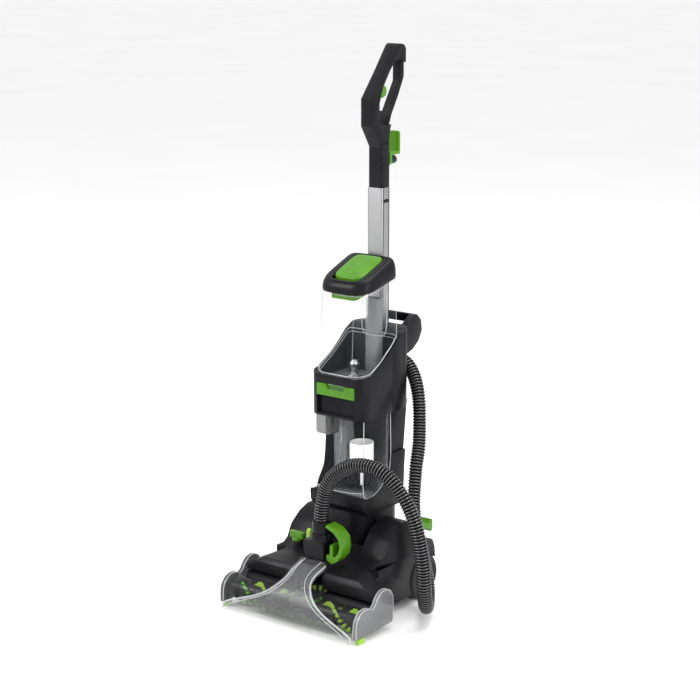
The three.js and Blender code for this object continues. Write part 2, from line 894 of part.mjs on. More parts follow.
function standpipe() {
  const shape = (inset) => roundedShape(2 + inset, 34 - inset, 40 + inset, 62 - inset, 6 - inset);
  const body = cut(alongZ(shape(0), 455.8, 612), alongZ(shape(1.8), 450, 620));
  return piece("standpipe", body, clear);
}

function tankValve() {
  const body = turned(
    [
      [0, 455.8],
      [13, 455.8],
      [13, 461],
      [6, 464],
      [5, 474],
      [9, 478],
      [9.6, 485],
      [6, 491],
      [0, 493],
    ],
    0,
    10,
    20,
  );
  return piece("tank_valve", body, steel);
}

function tankLid() {
  const geometry = new THREE.ExtrudeGeometry(unevenShape(56, -34, 72, 26, 5), {
    depth: 0.7,
    bevelEnabled: true,
    bevelThickness: 0.15,
    bevelSize: 4,
    bevelSegments: 2,
    curveSegments: 6,
  });
  const low = -0.15;
  const high = 0.85;
  const body = solid(
    warp(geometry, (p) => {
      const t = (p.z - low) / (high - low);
      p.z = lidEdge(p.y) + t * (20 + 0.17 * (p.y + 50));
    }),
  );
  const well = alongX(
    outline([
      [-27, 643],
      [-27, 700],
      [66, 720],
      [66, 677],
      [-10, 650],
    ]),
    -33,
    33,
  );
  return piece("tank_lid", cut(body, well), black);
}

function lidPad() {
  const side = outline([
    [-16, 650],
    [-18, 652],
    [-17, 660.6],
    [58, 690.6],
    [65.2, 687],
    [65.2, 680.5],
  ]);
  return piece("lid_pad", alongX(side, -32.4, 32.4), green);
}

function lidPlug() {
  const geometry = warp(alongZGeometry(roundedShape(-32, 32, -28.5, 34, 10), 0, 1, 1), (p) => {
    p.z = lidEdge(p.y) - 0.5 - (p.z > 0.5 ? 0 : 13);
  });
  return piece("lid_plug", solid(geometry), green);
}

function pole() {
  const { halfX, y0, y1, z0, z1, wall } = POLE;
  const outer = alongZ(roundedShape(-halfX, halfX, y0, y1, 4), z0, z1);
  const inner = alongZ(roundedShape(-halfX + wall, halfX - wall, y0 + wall, y1 - wall, 2.4), z0 - 1, z1 + 1);
  const hole = box(10, 20, 83.6, 98.4, 796.6, 803.4);
  return piece("pole", cut(outer, inner, hole), silver);
}

function handle() {
  const loop = alongX(
    outline([
      [79, 890],
      [79, 903],
      [50, 948],
      [50, 1001],
      [93, 1052],
      [130, 1099],
      [137, 1103],
      [153, 1101],
      [160, 1093],
      [160, 1037],
      [142, 1003],
      [119, 966],
      [109, 940],
      [105, 915],
      [105, 890],
    ]),
    -14,
    14,
  );
  const opening = alongX(
    outline([
      [73, 960],
      [73, 992],
      [84, 1021],
      [105, 1050],
      [121, 1068],
      [140, 1074],
      [148, 1068],
      [148, 1030],
      [131, 1003],
      [112, 973],
      [99, 950],
      [88, 944],
      [78, 948],
    ]),
    -20,
    20,
  );
  const strap = [-1, 1].map((side) => {
    const x0 = side > 0 ? 9 : -20;
    const beside = outline([
      [99, 948],
      [112, 973],
      [131, 1003],
      [147.8, 1030],
      [147.8, 1066],
      [170, 1066],
      [170, 948],
    ]);
    return alongX(beside, x0, x0 + 11);
  });
  const stem = alongZ(roundedShape(-STEM_HALF_X, STEM_HALF_X, 78, 104.4, 5), 826.5, 912);
  const spigot = alongZ(roundedShape(-15.6, 15.6, 79.4, 100.6, 2.2), 780, 830);
  const buttonWay = box(8, 19, 83.6, 98.4, 796.6, 803.4);
  const triggerRoom = outline([
    [62, 998],
    [79, 1028],
    [130, 1028],
    [130, 998],
  ]);
  const triggerWay = alongX(triggerRoom, -5.6, 5.6).intersect(box(-6, 6, 60, 100, 990, 1030));
  return piece("handle", cut(join(loop, stem, spigot), opening, ...strap, buttonWay, triggerWay), black);
}

function trigger() {
  const side = outline([
    [72, 1002],
    [86, 1024],
    [98, 1025],
    [107, 1021],
    [110, 1013],
    [106, 1004],
    [96, 1000],
  ]);
  return piece("trigger", alongX(side, -5, 5), green);
}

function lockButton() {
  return piece("lock_button", box(11, 19.4, 84, 98, 797, 803), black);
}

function hookBoss() {
  return piece("hook_boss", join(
    roundY(HOOK.r, HOOK.y - 1.6, HOOK.y + 33, 0, HOOK.z, 24),
    roundY(10.5, HOOK.y - 1.6, HOOK.y + 4, 0, HOOK.z, 24),
  ), black);
}

function cordHook() {
  const shape = roundedShape(-11.6, 11.6, HOOK.z - 11.6, 930, 11);
  const back = HOOK.y + 5;
  const ring = cut(alongY(shape, back, back + 7), roundY(HOOK.r + GAP, back - 1, back + 8, 0, HOOK.z, 24));
  const shelf = box(-11.6, 11.6, back + 6, back + 34, 887, 893);
  const upright = alongY(roundedShape(-11.6, 11.6, 887, 932, 5), back + 28.6, back + 34);
  return piece("cord_hook", join(cut(ring, box(-13, 13, back - 1, back + 8, 894, 940)), shelf, upright), green);
}

function suctionMotor() {
  const body = turned(
    [
      [0, 106],
      [26, 106],
      [34, 114],
      [34, 146],
      [20, 152],
      [4.6, 152],
      [4.6, 148],
      [0, 148],
    ],
    0,
    22,
    24,
  );
  const straps = join(box(-40.5, 40.5, 18, 26, 120, 126), box(-4, 4, -18.5, 62.5, 120, 126));
  return piece("suction_motor", join(body, straps), steel);
}

function suctionFan() {
  const body = turned(
    [
      [0, 149],
      [4, 149],
      [4, 156],
      [37, 156],
      [37, 160],
      [16, 172],
      [10, 178],
      [0, 178],
    ],
    0,
    22,
    24,
  );
  return piece("suction_fan", body, silver);
}

function cordGland() {
  const body = join(roundY(8, 92.6, 96, 34, 262, 20), roundY(5.5, 95, 108, 34, 262, 20));
  return piece("cord_gland", body, rubber);
}

function hosePort() {
  const block = alongX(roundedShape(PORT.y - 30, PORT.y + 18, PORT.z - 18.5, PORT.z + 18.5, 12), PORT.x0, PORT.x1);
  const bore = roundX(HOSE_R + GAP, PORT.x0 + 18, PORT.x1 + 2, PORT.y, PORT.z);
  const keep = box(-60, 60, CUP.rear + GAP, 170, 440, 520);
  return piece("hose_port", cut(block.intersect(keep), bore), black);
}

// The suction hose as a plain tube along its drape, from the cuff on the floor head to the port on the back.
function hose() {
  const drape = [
    [CUFF.x, CUFF.y, 167],
    [CUFF.x, CUFF.y, 196],
    [10, -106, 226],
    [17, -105, 256],
    [31, -105, 281],
    [54, -104, 302],
    [80, -102, 315],
    [108, -100, 320],
    [138, -98, 316],
    [164, -95, 302],
    [186, -92, 279],
    [204, -89, 250],
    [218, -86, 215],
    [227, -83, 175],
    [232, -80, 132],
    [230, -74, 90],
    [221, -56, 52],
    [205, -28, 32],
    [187, 2, 33],
    [172, 24, 56],
    [160, 27, 95],
    [150, 25, 135],
    [141, 24, 175],
    [134, 28, 215],
    [129, 38, 252],
    [123, 51, 285],
    [115, 71, 320],
    [105, 87, 355],
    [95, 100, 390],
    [82, 112, 422],
    [64, 123, 448],
    [44, 130, 465],
    [24, 133.5, 472],
    [10, PORT.y, PORT.z],
    [-6, PORT.y, PORT.z],
  ].map(([x, y, z]) => new THREE.Vector3(x, y, z));
  const path = new THREE.CatmullRomCurve3(drape, false, "centripetal");
  const shape = new THREE.Shape().absarc(0, 0, HOSE_R, 0, 2 * Math.PI, false);
  const options = { steps: 44, extrudePath: path, bevelEnabled: false, curveSegments: 5 };
  return piece("hose", solid(new THREE.ExtrudeGeometry(shape, options)), rubber);
}

// ---------------------------------------------------------------- the whole machine
const group = new THREE.Group();
group.name = "carpet_washer";
group.add(
  chassis(),
  roller("front_roller_left", -1),
  roller("front_roller_right", 1),
  baseCover(),
  brushHood(),
  endCap("end_cap_left", -1),
  endCap("end_cap_right", 1),
  edgeBrush("edge_brush_left", -1),
  edgeBrush("edge_brush_right", 1),
  nozzle(),
  frontRoll(),
  rearRoll(),
  brushMotor(),
  motorPulley(),
  driveBelt(),
  pump(),
  axle(),
  wheel("wheel_left", -1),
  wheel("wheel_right", 1),
  pedal("recline_pedal", 1),
  pedal("power_pedal", -1),
  hoseConnector(),
  hoseLever(),
  hoseCuff(),
  selectorKnob(),
  selectorTab(),
  spine(),
  carryHandle(),
  dirtyTank(),
  dirtyDuct(),
  floatCup(),
  midHousing(),
  tankLatch(),
  cleanTank(),
  standpipe(),
  tankValve(),
  tankLid(),
  lidPad(),
  lidPlug(),
  pole(),
  handle(),
  trigger(),
  lockButton(),
  hookBoss(),
  cordHook(),
  suctionMotor(),
  suctionFan(),
  cordGland(),
  hosePort(),
  hose(),
);
group.position.y = CENTRE_Y;

export default group;
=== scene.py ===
# %% [markdown]
# # An upright carpet washer
# The machine is a floor head with two brush rolls, a reclining body that carries a clear clean-water tank and a
# clear waste tank, a flat metal pole, a loop handle, and a ribbed suction hose that loops out on the right.
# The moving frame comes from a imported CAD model. It is loaded first and stays fixed: every other piece is hung on it.

# %% Load the fixed frame
import math

import bpy
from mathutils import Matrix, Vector


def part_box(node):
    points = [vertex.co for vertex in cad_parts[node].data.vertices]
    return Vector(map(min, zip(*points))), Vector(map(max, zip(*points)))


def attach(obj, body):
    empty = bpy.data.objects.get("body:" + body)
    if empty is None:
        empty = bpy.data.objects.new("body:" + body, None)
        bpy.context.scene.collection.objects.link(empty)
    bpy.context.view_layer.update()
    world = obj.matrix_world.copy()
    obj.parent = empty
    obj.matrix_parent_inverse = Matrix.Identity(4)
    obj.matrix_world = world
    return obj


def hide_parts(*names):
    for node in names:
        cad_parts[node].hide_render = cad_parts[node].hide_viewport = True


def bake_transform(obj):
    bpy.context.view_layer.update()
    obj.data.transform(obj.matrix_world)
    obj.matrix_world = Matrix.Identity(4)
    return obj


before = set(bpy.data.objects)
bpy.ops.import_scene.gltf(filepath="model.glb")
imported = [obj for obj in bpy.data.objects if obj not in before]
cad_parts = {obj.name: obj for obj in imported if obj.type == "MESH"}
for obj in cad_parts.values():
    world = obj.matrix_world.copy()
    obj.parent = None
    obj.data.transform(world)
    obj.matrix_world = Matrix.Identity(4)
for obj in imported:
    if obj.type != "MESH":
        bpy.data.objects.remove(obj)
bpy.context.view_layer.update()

# %% [markdown]
# ## One drawing to measure from
# The real machine is drawn in millimetres from the rear axle. Reading the axle's own box gives the offset between that
# drawing and the frame, so each later cell can use plain drawing numbers and still land on the CAD parts.

# %% Drawing coordinates
MM = 0.001
axle_low, axle_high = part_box("axle")
set_back = (axle_low.y + axle_high.y) / 2 - 74 * MM


def at(x, y, z):
    """A point of the drawing, in millimetres, as a place in the frame, in metres."""
    return Vector((x * MM, y * MM + set_back, z * MM))


print("drawing is set back by", round(set_back * 1000, 2), "mm")

# %% [markdown]
# ## The camera
# A product picture is taken from a few metres away with a long lens, so the upright lines stay nearly parallel. The
# camera is aimed with a look-at rotation, which is easier to read than three typed angles.

# %% Camera
camera_data = bpy.data.cameras.new("camera")
camera_data.lens = 92.5
camera_data.sensor_width = 36
camera_data.clip_end = 50
camera = bpy.data.objects.new("camera", camera_data)
bpy.context.scene.collection.objects.link(camera)
camera.location = (2.064, -2.754 + set_back, 1.357)
target = Vector((0.198, -0.268 + set_back, 0.595))
camera.rotation_euler = (target - camera.location).to_track_quat("-Z", "Y").to_euler()
bpy.context.scene.camera = camera
print("camera looks from", [round(v, 2) for v in camera.location])

# %% [markdown]
# ## Floor and light
# The floor is one very wide pale sheet under a white world, so no horizon line crosses the picture. Three big soft
# area lights add the shaped highlights that a catalogue studio gives to black plastic.

# %% Floor
def link(obj):
    bpy.context.scene.collection.objects.link(obj)
    return obj


def mesh_object(name, vertices, faces):
    data = bpy.data.meshes.new(name)
    data.from_pydata([tuple(v) for v in vertices], [], faces)
    data.validate()
    data.update()
    return link(bpy.data.objects.new(name, data))


FLOOR_REACH = 30.0
corners = [(-1, -1), (1, -1), (1, 1), (-1, 1)]
floor = mesh_object("floor", [(x * FLOOR_REACH, y * FLOOR_REACH, 0) for x, y in corners], [(0, 1, 2, 3)])

# %% [markdown]
# Each lamp is a rectangle aimed at the middle of the machine. The key and the fill are tall and narrow, so that they
# draw long upright highlights. The top lamp is wide and opens the shadows under the lid.

# %% Light
def area_light(name, place, aim, size, power):
    data = bpy.data.lights.new(name, "AREA")
    data.shape = "RECTANGLE"
    data.size, data.size_y = size
    data.energy = power
    lamp = link(bpy.data.objects.new(name, data))
    lamp.location = place
    lamp.rotation_euler = (Vector(aim) - Vector(place)).to_track_quat("-Z", "Y").to_euler()
    return lamp


area_light("key", (-1.9, -2.4, 2.5), (0, 0, 0.5), (0.9, 1.6), 70)
area_light("fill", (2.9, -0.4, 1.6), (0, 0, 0.45), (0.7, 2.2), 46)
area_light("top", (0.2, 0.5, 3.2), (0, 0, 0.4), (2.2, 1.2), 60)
world = bpy.data.worlds.new("studio")
world.use_nodes = True
world.node_tree.nodes["Background"].inputs["Color"].default_value = (1, 1, 1, 1)
world.node_tree.nodes["Background"].inputs["Strength"].default_value = 1.0
bpy.context.scene.world = world
bpy.context.scene.view_settings.view_transform = "Standard"

# %% [markdown]
# ## How a finish is made
# Each finish is one shader with small, real disturbances: a fine moulded grain in the bump, slow changes in gloss, and
# a slightly different tone in slow random patches. Image files could do this too, but noise textures stay sharp at
# any distance. They read object coordinates, which are metres here, so a scale of 1000 is about a millimetre.

# %% Helpers for shader nodes
def new_material(name):
    material = bpy.data.materials.new(name)
    material.use_nodes = True
    shader = material.node_tree.nodes["Principled BSDF"]
    return material, material.node_tree, shader


def object_noise(tree, scale, detail=3.0, roughness=0.5, stretch=None):
    coordinates = tree.nodes.new("ShaderNodeTexCoord")
    texture = tree.nodes.new("ShaderNodeTexNoise")
    texture.inputs["Scale"].default_value = scale
    texture.inputs["Detail"].default_value = detail
    texture.inputs["Roughness"].default_value = roughness
    if stretch:
        mapping = tree.nodes.new("ShaderNodeMapping")
        mapping.inputs["Scale"].default_value = stretch
        tree.links.new(coordinates.outputs["Object"], mapping.inputs["Vector"])
        tree.links.new(mapping.outputs["Vector"], texture.inputs["Vector"])
    else:
        tree.links.new(coordinates.outputs["Object"], texture.inputs["Vector"])
    return texture.outputs["Fac"]


def spread(tree, value, low, high, from_low=0.3, from_high=0.7):
    """Stretches a noise value to the range low to high."""
    node = tree.nodes.new("ShaderNodeMapRange")
    node.inputs["From Min"].default_value = from_low
    node.inputs["From Max"].default_value = from_high
    node.inputs["To Min"].default_value = low
    node.inputs["To Max"].default_value = high
    tree.links.new(value, node.inputs["Value"])
    return node.outputs["Result"]


# A Mix node carries sockets for every data type, and these are the ones it uses for colours.
MIX_FACTOR, MIX_A, MIX_B, MIX_RESULT = 0, 6, 7, 2


def two_tones(tree, factor, first, second):
    """Goes from the first colour to the second as factor goes from 0 to 1."""
    node = tree.nodes.new("ShaderNodeMix")
    node.data_type = "RGBA"
    node.inputs[MIX_A].default_value = (*first, 1)
    node.inputs[MIX_B].default_value = (*second, 1)
    tree.links.new(factor, node.inputs[MIX_FACTOR])
    return node.outputs[MIX_RESULT]


def bumps(tree, shader, height, strength, depth):
    node = tree.nodes.new("ShaderNodeBump")
    node.inputs["Strength"].default_value = strength
    node.inputs["Distance"].default_value = depth
    tree.links.new(height, node.inputs["Height"])
    tree.links.new(node.outputs["Normal"], shader.inputs["Normal"])


def tone(colour, by):
    """The colour made lighter or darker by a factor."""
    return tuple(min(1.0, c * by) for c in colour)


# %% [markdown]
# ## Moulded plastics
# The black and green parts are injection-moulded ABS. The mould gives a very fine grain, and handling polishes it
# unevenly. The grain goes into the bump at half a millimetre, the polish into the roughness at a few centimetres.

# %% Opaque plastics
def moulded_plastic(name, colour, gloss, grain=0.12, coat=0.0, worn=1.18, shine=0.5):
    material, tree, shader = new_material(name)
    patches = object_noise(tree, 22, 4, 0.55)
    grain_noise = object_noise(tree, 1900, 2, 0.6)
    drift = spread(tree, patches, 0, 1, 0.35, 0.65)
    tree.links.new(two_tones(tree, drift, tone(colour, 0.93), tone(colour, worn)), shader.inputs["Base Color"])
    tree.links.new(spread(tree, patches, gloss - 0.05, gloss + 0.07), shader.inputs["Roughness"])
    shader.inputs["Specular IOR Level"].default_value = shine
    shader.inputs["Coat Weight"].default_value = coat
    shader.inputs["Coat Roughness"].default_value = 0.12
    bumps(tree, shader, grain_noise, grain, 0.00012)
    return material


black_plastic = moulded_plastic("black_plastic", (0.0055, 0.005, 0.0062), 0.33, 0.08, worn=1.6, shine=0.13)
charcoal_plastic = moulded_plastic("charcoal_plastic", (0.016, 0.015, 0.017), 0.5, 0.25, shine=0.2)
green_plastic = moulded_plastic("green_plastic", (0.056, 0.185, 0.003), 0.27, 0.04, coat=0.04, worn=1.15, shine=0.22)
# A darker copy of the green, used only in the latch's hollow: painted shade.
shaded_green_plastic = moulded_plastic("shaded_green_plastic", (0.03, 0.12, 0.006), 0.3, 0.04, worn=1.2, shine=0.4)
lime_plastic = moulded_plastic("lime_plastic", (0.24, 0.46, 0.02), 0.26, 0.04, coat=0.2, worn=1.1, shine=0.4)
lime_bristle = moulded_plastic("lime_bristle", (0.42, 0.68, 0.06), 0.45, 0.1, worn=1.25, shine=0.3)
green_bristle = moulded_plastic("green_bristle", (0.12, 0.42, 0.015), 0.45, 0.1, worn=1.25, shine=0.3)
white_plastic = moulded_plastic("white_plastic", (0.8, 0.8, 0.78), 0.35, 0.06, worn=1.03)
duct_plastic = moulded_plastic("duct_plastic", (0.42, 0.42, 0.43), 0.4, 0.08, worn=1.1)
print("plastics:", [m.name for m in bpy.data.materials])

# %% [markdown]
# The floor is nearly white and dull. Its tone drifts by two hundredths over half a metre, as a painted sheet's does.

# %% Floor paint
floor_paint, floor_tree, floor_shader = new_material("floor_paint")
floor_tone = spread(floor_tree, object_noise(floor_tree, 1.5, 2), 0, 1)
floor_tree.links.new(
    two_tones(floor_tree, floor_tone, (0.9, 0.9, 0.9), (0.92, 0.92, 0.92)), floor_shader.inputs["Base Color"]
)
floor_shader.inputs["Roughness"].default_value = 0.7
floor.data.materials.append(floor_paint)

# %% [markdown]
# ## Rubber, metal and clear plastic
# Rubber is dull with a chalky bloom. The pole is brushed along its length, so its noise is stretched on one axis.
# Clear plastic is mostly see-through face-on and grey towards its edges, where the eye looks through more of it. A
# Layer Weight into the opacity gives exactly that on thin walls, and light still reaches what is inside.

# %% Rubber and metals
def soft_rubber(name, colour, rough=0.6, shine=0.22):
    material, tree, shader = new_material(name)
    shader.inputs["Specular IOR Level"].default_value = shine
    bloom = object_noise(tree, 60, 5, 0.6)
    tree.links.new(
        two_tones(tree, spread(tree, bloom, 0, 1, 0.4, 0.75), colour, tone(colour, 1.9)), shader.inputs["Base Color"]
    )
    tree.links.new(spread(tree, bloom, rough - 0.08, rough + 0.12), shader.inputs["Roughness"])
    bumps(tree, shader, object_noise(tree, 1400, 3, 0.6), 0.3, 0.0002)
    return material


def brushed_metal(name, colour, rough, along=(500, 500, 6)):
    material, tree, shader = new_material(name)
    streaks = object_noise(tree, 4, 4, 0.6, stretch=along)
    shader.inputs["Metallic"].default_value = 1.0
    tree.links.new(
        two_tones(tree, spread(tree, streaks, 0, 1), tone(colour, 0.88), tone(colour, 1.06)),
        shader.inputs["Base Color"],
    )
    tree.links.new(spread(tree, streaks, rough - 0.06, rough + 0.1), shader.inputs["Roughness"])
    bumps(tree, shader, streaks, 0.08, 0.00008)
    return material


hose_rubber = soft_rubber("hose_rubber", (0.0025, 0.0024, 0.003), 0.4, 0.06)
# The next finish is a lighter, glossier copy of the hose rubber for the rib crests; its lighter colour is a painted
# highlight.
crest_highlight_rubber = soft_rubber("crest_highlight_rubber", (0.024, 0.024, 0.025), 0.15, 1.0)
belt_rubber = soft_rubber("belt_rubber", (0.012, 0.012, 0.012), 0.7)
tyre_rubber = soft_rubber("tyre_rubber", (0.02, 0.02, 0.021), 0.66)
pole_metal = brushed_metal("pole_metal", (0.36, 0.36, 0.365), 0.42)
axle_steel = brushed_metal("axle_steel", (0.5, 0.5, 0.52), 0.28, (6, 500, 500))

# %% [markdown]
# The clear plastics share one recipe. `face_on` and `edge_on` are the opacities at the two ends, and `start` and `full`
# say at which slant the wall begins and ends its change. Thin tank walls stay clear until they are nearly edge-on.

# %% Clear plastics
def clear_plastic(name, colour, face_on, edge_on, rough=0.05, power=0.1, start=0.12, full=0.55):
    material, tree, shader = new_material(name)
    facing = tree.nodes.new("ShaderNodeLayerWeight")
    facing.inputs["Blend"].default_value = power
    haze = object_noise(tree, 30, 3, 0.5)
    opacity = tree.nodes.new("ShaderNodeMapRange")
    opacity.inputs["From Min"].default_value = start
    opacity.inputs["From Max"].default_value = full
    opacity.inputs["To Min"].default_value = face_on
    opacity.inputs["To Max"].default_value = edge_on
    tree.links.new(facing.outputs["Facing"], opacity.inputs["Value"])
    tree.links.new(opacity.outputs["Result"], shader.inputs["Alpha"])
    tree.links.new(
        two_tones(tree, spread(tree, haze, 0, 1), tone(colour, 0.94), tone(colour, 1.05)), shader.inputs["Base Color"]
    )
    tree.links.new(spread(tree, haze, rough, rough + 0.06), shader.inputs["Roughness"])
    bumps(tree, shader, object_noise(tree, 14, 2, 0.5), 0.05, 0.002)
    return material


tank_clear = clear_plastic("tank_clear", (0.42, 0.44, 0.46), 0.012, 0.8, start=0.13, full=0.42)
duct_clear = clear_plastic("duct_clear", (0.4, 0.41, 0.43), 0.22, 0.85, 0.1)
nozzle_clear = clear_plastic("nozzle_clear", (0.4, 0.4, 0.41), 0.075, 0.7, 0.08, start=0.2, full=0.6)
hood_clear = clear_plastic("hood_clear", (0.03, 0.03, 0.032), 0.16, 0.8, 0.06)
cap_clear = clear_plastic("cap_clear", (0.17, 0.17, 0.175), 0.8, 0.97, 0.16)
# The left end cap gets a much darker copy of the cap finish: painted shade, for the dark inside seen through it.
shaded_cap_clear = clear_plastic("shaded_cap_clear", (0.03, 0.03, 0.032), 0.82, 0.95, 0.14)
inlet_smoke = clear_plastic("inlet_smoke", (0.06, 0.06, 0.062), 0.6, 0.9, 0.2)
# The next finish is the pale clear of the thin tubes along clear edges: a painted highlight.
highlight_line_clear = clear_plastic("highlight_line_clear", (0.62, 0.63, 0.65), 0.5, 0.9, 0.08, full=0.9)
print("finishes so far:", len(bpy.data.materials))

# %% [markdown]
# ## The suction hose
# The hose is a blow-moulded tube with a rib every few millimetres. It could be a curve with a ribbed bevel, but a mesh
# ring swept along the route lets each ring have its own radius, which is what makes real corrugation. The route is the
# CAD hose's route, smoothed by a centripetal Catmull-Rom curve so that no bend kinks.

# %% Hose route
hose_points = [
    (6, -106, 167), (6, -106, 196), (10, -106, 226), (17, -105, 256), (31, -105, 281), (54, -104, 302),
    (80, -102, 315), (108, -100, 320), (138, -98, 316), (164, -95, 302), (186, -92, 279), (204, -89, 250),
    (218, -86, 215), (227, -83, 175), (232, -80, 132), (230, -74, 90), (221, -56, 52), (205, -28, 32),
    (187, 2, 33), (172, 24, 56), (160, 27, 95), (150, 25, 135), (141, 24, 175), (134, 28, 215),
    (129, 38, 252), (123, 51, 285), (115, 71, 320), (105, 87, 355), (95, 100, 390), (82, 112, 422),
    (64, 123, 448), (44, 130, 465), (24, 133.5, 472), (10, 134, 473), (-6, 134, 473),
]


def smooth_route(points, per_span):
    """A centripetal Catmull-Rom curve through the points, with per_span steps from each to the next."""
    ends = [points[0] * 2 - points[1]] + points + [points[-1] * 2 - points[-2]]
    route = []
    for i in range(1, len(ends) - 2):
        p0, p1, p2, p3 = ends[i - 1 : i + 3]
        t0 = 0.0
        t1 = t0 + math.sqrt((p1 - p0).length)
        t2 = t1 + math.sqrt((p2 - p1).length)
        t3 = t2 + math.sqrt((p3 - p2).length)
        for k in range(per_span):
            t = t1 + (t2 - t1) * k / per_span
            a1 = p0 * ((t1 - t) / (t1 - t0)) + p1 * ((t - t0) / (t1 - t0))
            a2 = p1 * ((t2 - t) / (t2 - t1)) + p2 * ((t - t1) / (t2 - t1))
            a3 = p2 * ((t3 - t) / (t3 - t2)) + p3 * ((t - t2) / (t3 - t2))
            b1 = a1 * ((t2 - t) / (t2 - t0)) + a2 * ((t - t0) / (t2 - t0))
            b2 = a2 * ((t3 - t) / (t3 - t1)) + a3 * ((t - t1) / (t3 - t1))
            route.append(b1 * ((t2 - t) / (t2 - t1)) + b2 * ((t - t1) / (t2 - t1)))
    return route + [points[-1]]


def even_steps(route, step):
    """The same route with its points a fixed distance apart."""
    result, carried = [route[0]], 0.0
    for a, b in zip(route, route[1:]):
        length = (b - a).length
        while length > 0 and carried + length >= step:
            a = a.lerp(b, (step - carried) / length)
            length = (b - a).length
            carried = 0.0
            result.append(a)
        carried += length
    return result


RING_STEP = 0.001
hose_route = even_steps(smooth_route([at(*p) for p in hose_points], 24), RING_STEP)

# %% [markdown]
# Each ring of the tube is turned so that its corners line up with the ring before it, which keeps the ribs square to
# the route. The crests carry their own rubber, glossier and about ten times lighter in colour: the lighter colour is a
# painted highlight along every rib, all the way round.

# %% Hose mesh
HOSE_SIDES = 24
RIB_RADII = (11.7, 11.9, 13.7, 14.5, 13.7, 11.9)
CREST_HIGHLIGHT_RINGS = (2, 3)


def swept_tube(name, route, radius_at, sides):
    """A tube along a route; radius_at gives each ring's radius. A carried-along normal keeps it from twisting.

    The normal starts along X, so a route that sets out along X comes out without thickness.
    """
    vertices, faces = [], []
    normal = Vector((1, 0, 0))
    for i, point in enumerate(route):
        ahead = route[min(i + 1, len(route) - 1)] - route[max(i - 1, 0)]
        tangent = ahead.normalized()
        normal = (normal - tangent * normal.dot(tangent)).normalized()
        other = tangent.cross(normal)
        radius = radius_at(i)
        for k in range(sides):
            a = 2 * math.pi * k / sides
            vertices.append(point + (normal * math.cos(a) + other * math.sin(a)) * radius)
    for i in range(len(route) - 1):
        for k in range(sides):
            j = (k + 1) % sides
            faces.append((i * sides + k, i * sides + j, (i + 1) * sides + j, (i + 1) * sides + k))
    faces.append(tuple(range(sides - 1, -1, -1)))
    last = (len(route) - 1) * sides
    faces.append(tuple(range(last, last + sides)))
    tube = mesh_object(name, vertices, faces)
    for polygon in tube.data.polygons:
        polygon.use_smooth = True
    return tube


def rib_radius(i):
    """Six rings to a rib: two at the root, a steep rise, a narrow crest, a steep fall."""
    return RIB_RADII[i % len(RIB_RADII)] * MM


hose = swept_tube("suction_hose", hose_route, rib_radius, HOSE_SIDES)
hose.data.materials.append(hose_rubber)
hose.data.materials.append(crest_highlight_rubber)
for polygon in hose.data.polygons:
    ring_of_rib = (polygon.index // HOSE_SIDES) % len(RIB_RADII)
    on_wall = polygon.loop_total == 4
    # Crest faces take the lighter rubber: a painted highlight on each rib.
    polygon.material_index = 1 if on_wall and ring_of_rib in CREST_HIGHLIGHT_RINGS else 0
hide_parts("hose")
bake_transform(hose)
print("hose rings:", len(hose_route))

# %% [markdown]
# ## Softened edges on the CAD parts
# The CAD parts have the right shapes but knife-sharp edges, and real mouldings never do. Their meshes may not be
# touched, so the softening is done by modifiers: Weld joins the split corners, Bevel rounds every real edge, and a
# small geometry-node group marks edges under 36 degrees as smooth so that round walls shade as round.

# %% Edge softening
def smooth_by_angle_group(name, degrees):
    group = bpy.data.node_groups.new(name, "GeometryNodeTree")
    group.interface.new_socket("Geometry", in_out="INPUT", socket_type="NodeSocketGeometry")
    group.interface.new_socket("Geometry", in_out="OUTPUT", socket_type="NodeSocketGeometry")
    inlet = group.nodes.new("NodeGroupInput")
    outlet = group.nodes.new("NodeGroupOutput")
    angle = group.nodes.new("GeometryNodeInputMeshEdgeAngle")
    compare = group.nodes.new("FunctionNodeCompare")
    compare.operation = "LESS_THAN"
    compare.inputs["B"].default_value = math.radians(degrees)
    edges = group.nodes.new("GeometryNodeSetShadeSmooth")
    edges.domain = "EDGE"
    faces = group.nodes.new("GeometryNodeSetShadeSmooth")
    faces.domain = "FACE"
    group.links.new(angle.outputs["Unsigned Angle"], compare.inputs["A"])
    group.links.new(inlet.outputs[0], edges.inputs["Geometry"])
    group.links.new(compare.outputs["Result"], edges.inputs["Shade Smooth"])
    group.links.new(edges.outputs["Geometry"], faces.inputs["Geometry"])
    group.links.new(faces.outputs["Geometry"], outlet.inputs[0])
    return group


SMOOTH_UNDER = 36
BEVEL_OVER = 32
BEVEL_SEGMENTS = 3
soft_shading = smooth_by_angle_group("soft_shading", SMOOTH_UNDER)


def soften(obj, width):
    """Rounds the real edges of a CAD part to the given width, by modifiers only."""
    weld = obj.modifiers.new("weld", "WELD")
    weld.merge_threshold = 0.00002
    bevel = obj.modifiers.new("bevel", "BEVEL")
    bevel.width = width
    bevel.segments = BEVEL_SEGMENTS
    bevel.limit_method = "ANGLE"
    bevel.angle_limit = math.radians(BEVEL_OVER)
    bevel.harden_normals = False
    bevel.use_clamp_overlap = True
    shade = obj.modifiers.new("shade", "NODES")
    shade.node_group = soft_shading


def finish_node(name, material, width):
    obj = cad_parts[name]
    obj.data.materials.clear()
    obj.data.materials.append(material)
    soften(obj, width)


# %% [markdown]
# ## Finishes on the CAD parts
# Parts that are simple mouldings keep their CAD shape. The list pairs each with its finish and with the edge radius
# that such a part has: about 2 mm on large covers, under 1 mm on small pieces, almost none on turned metal.

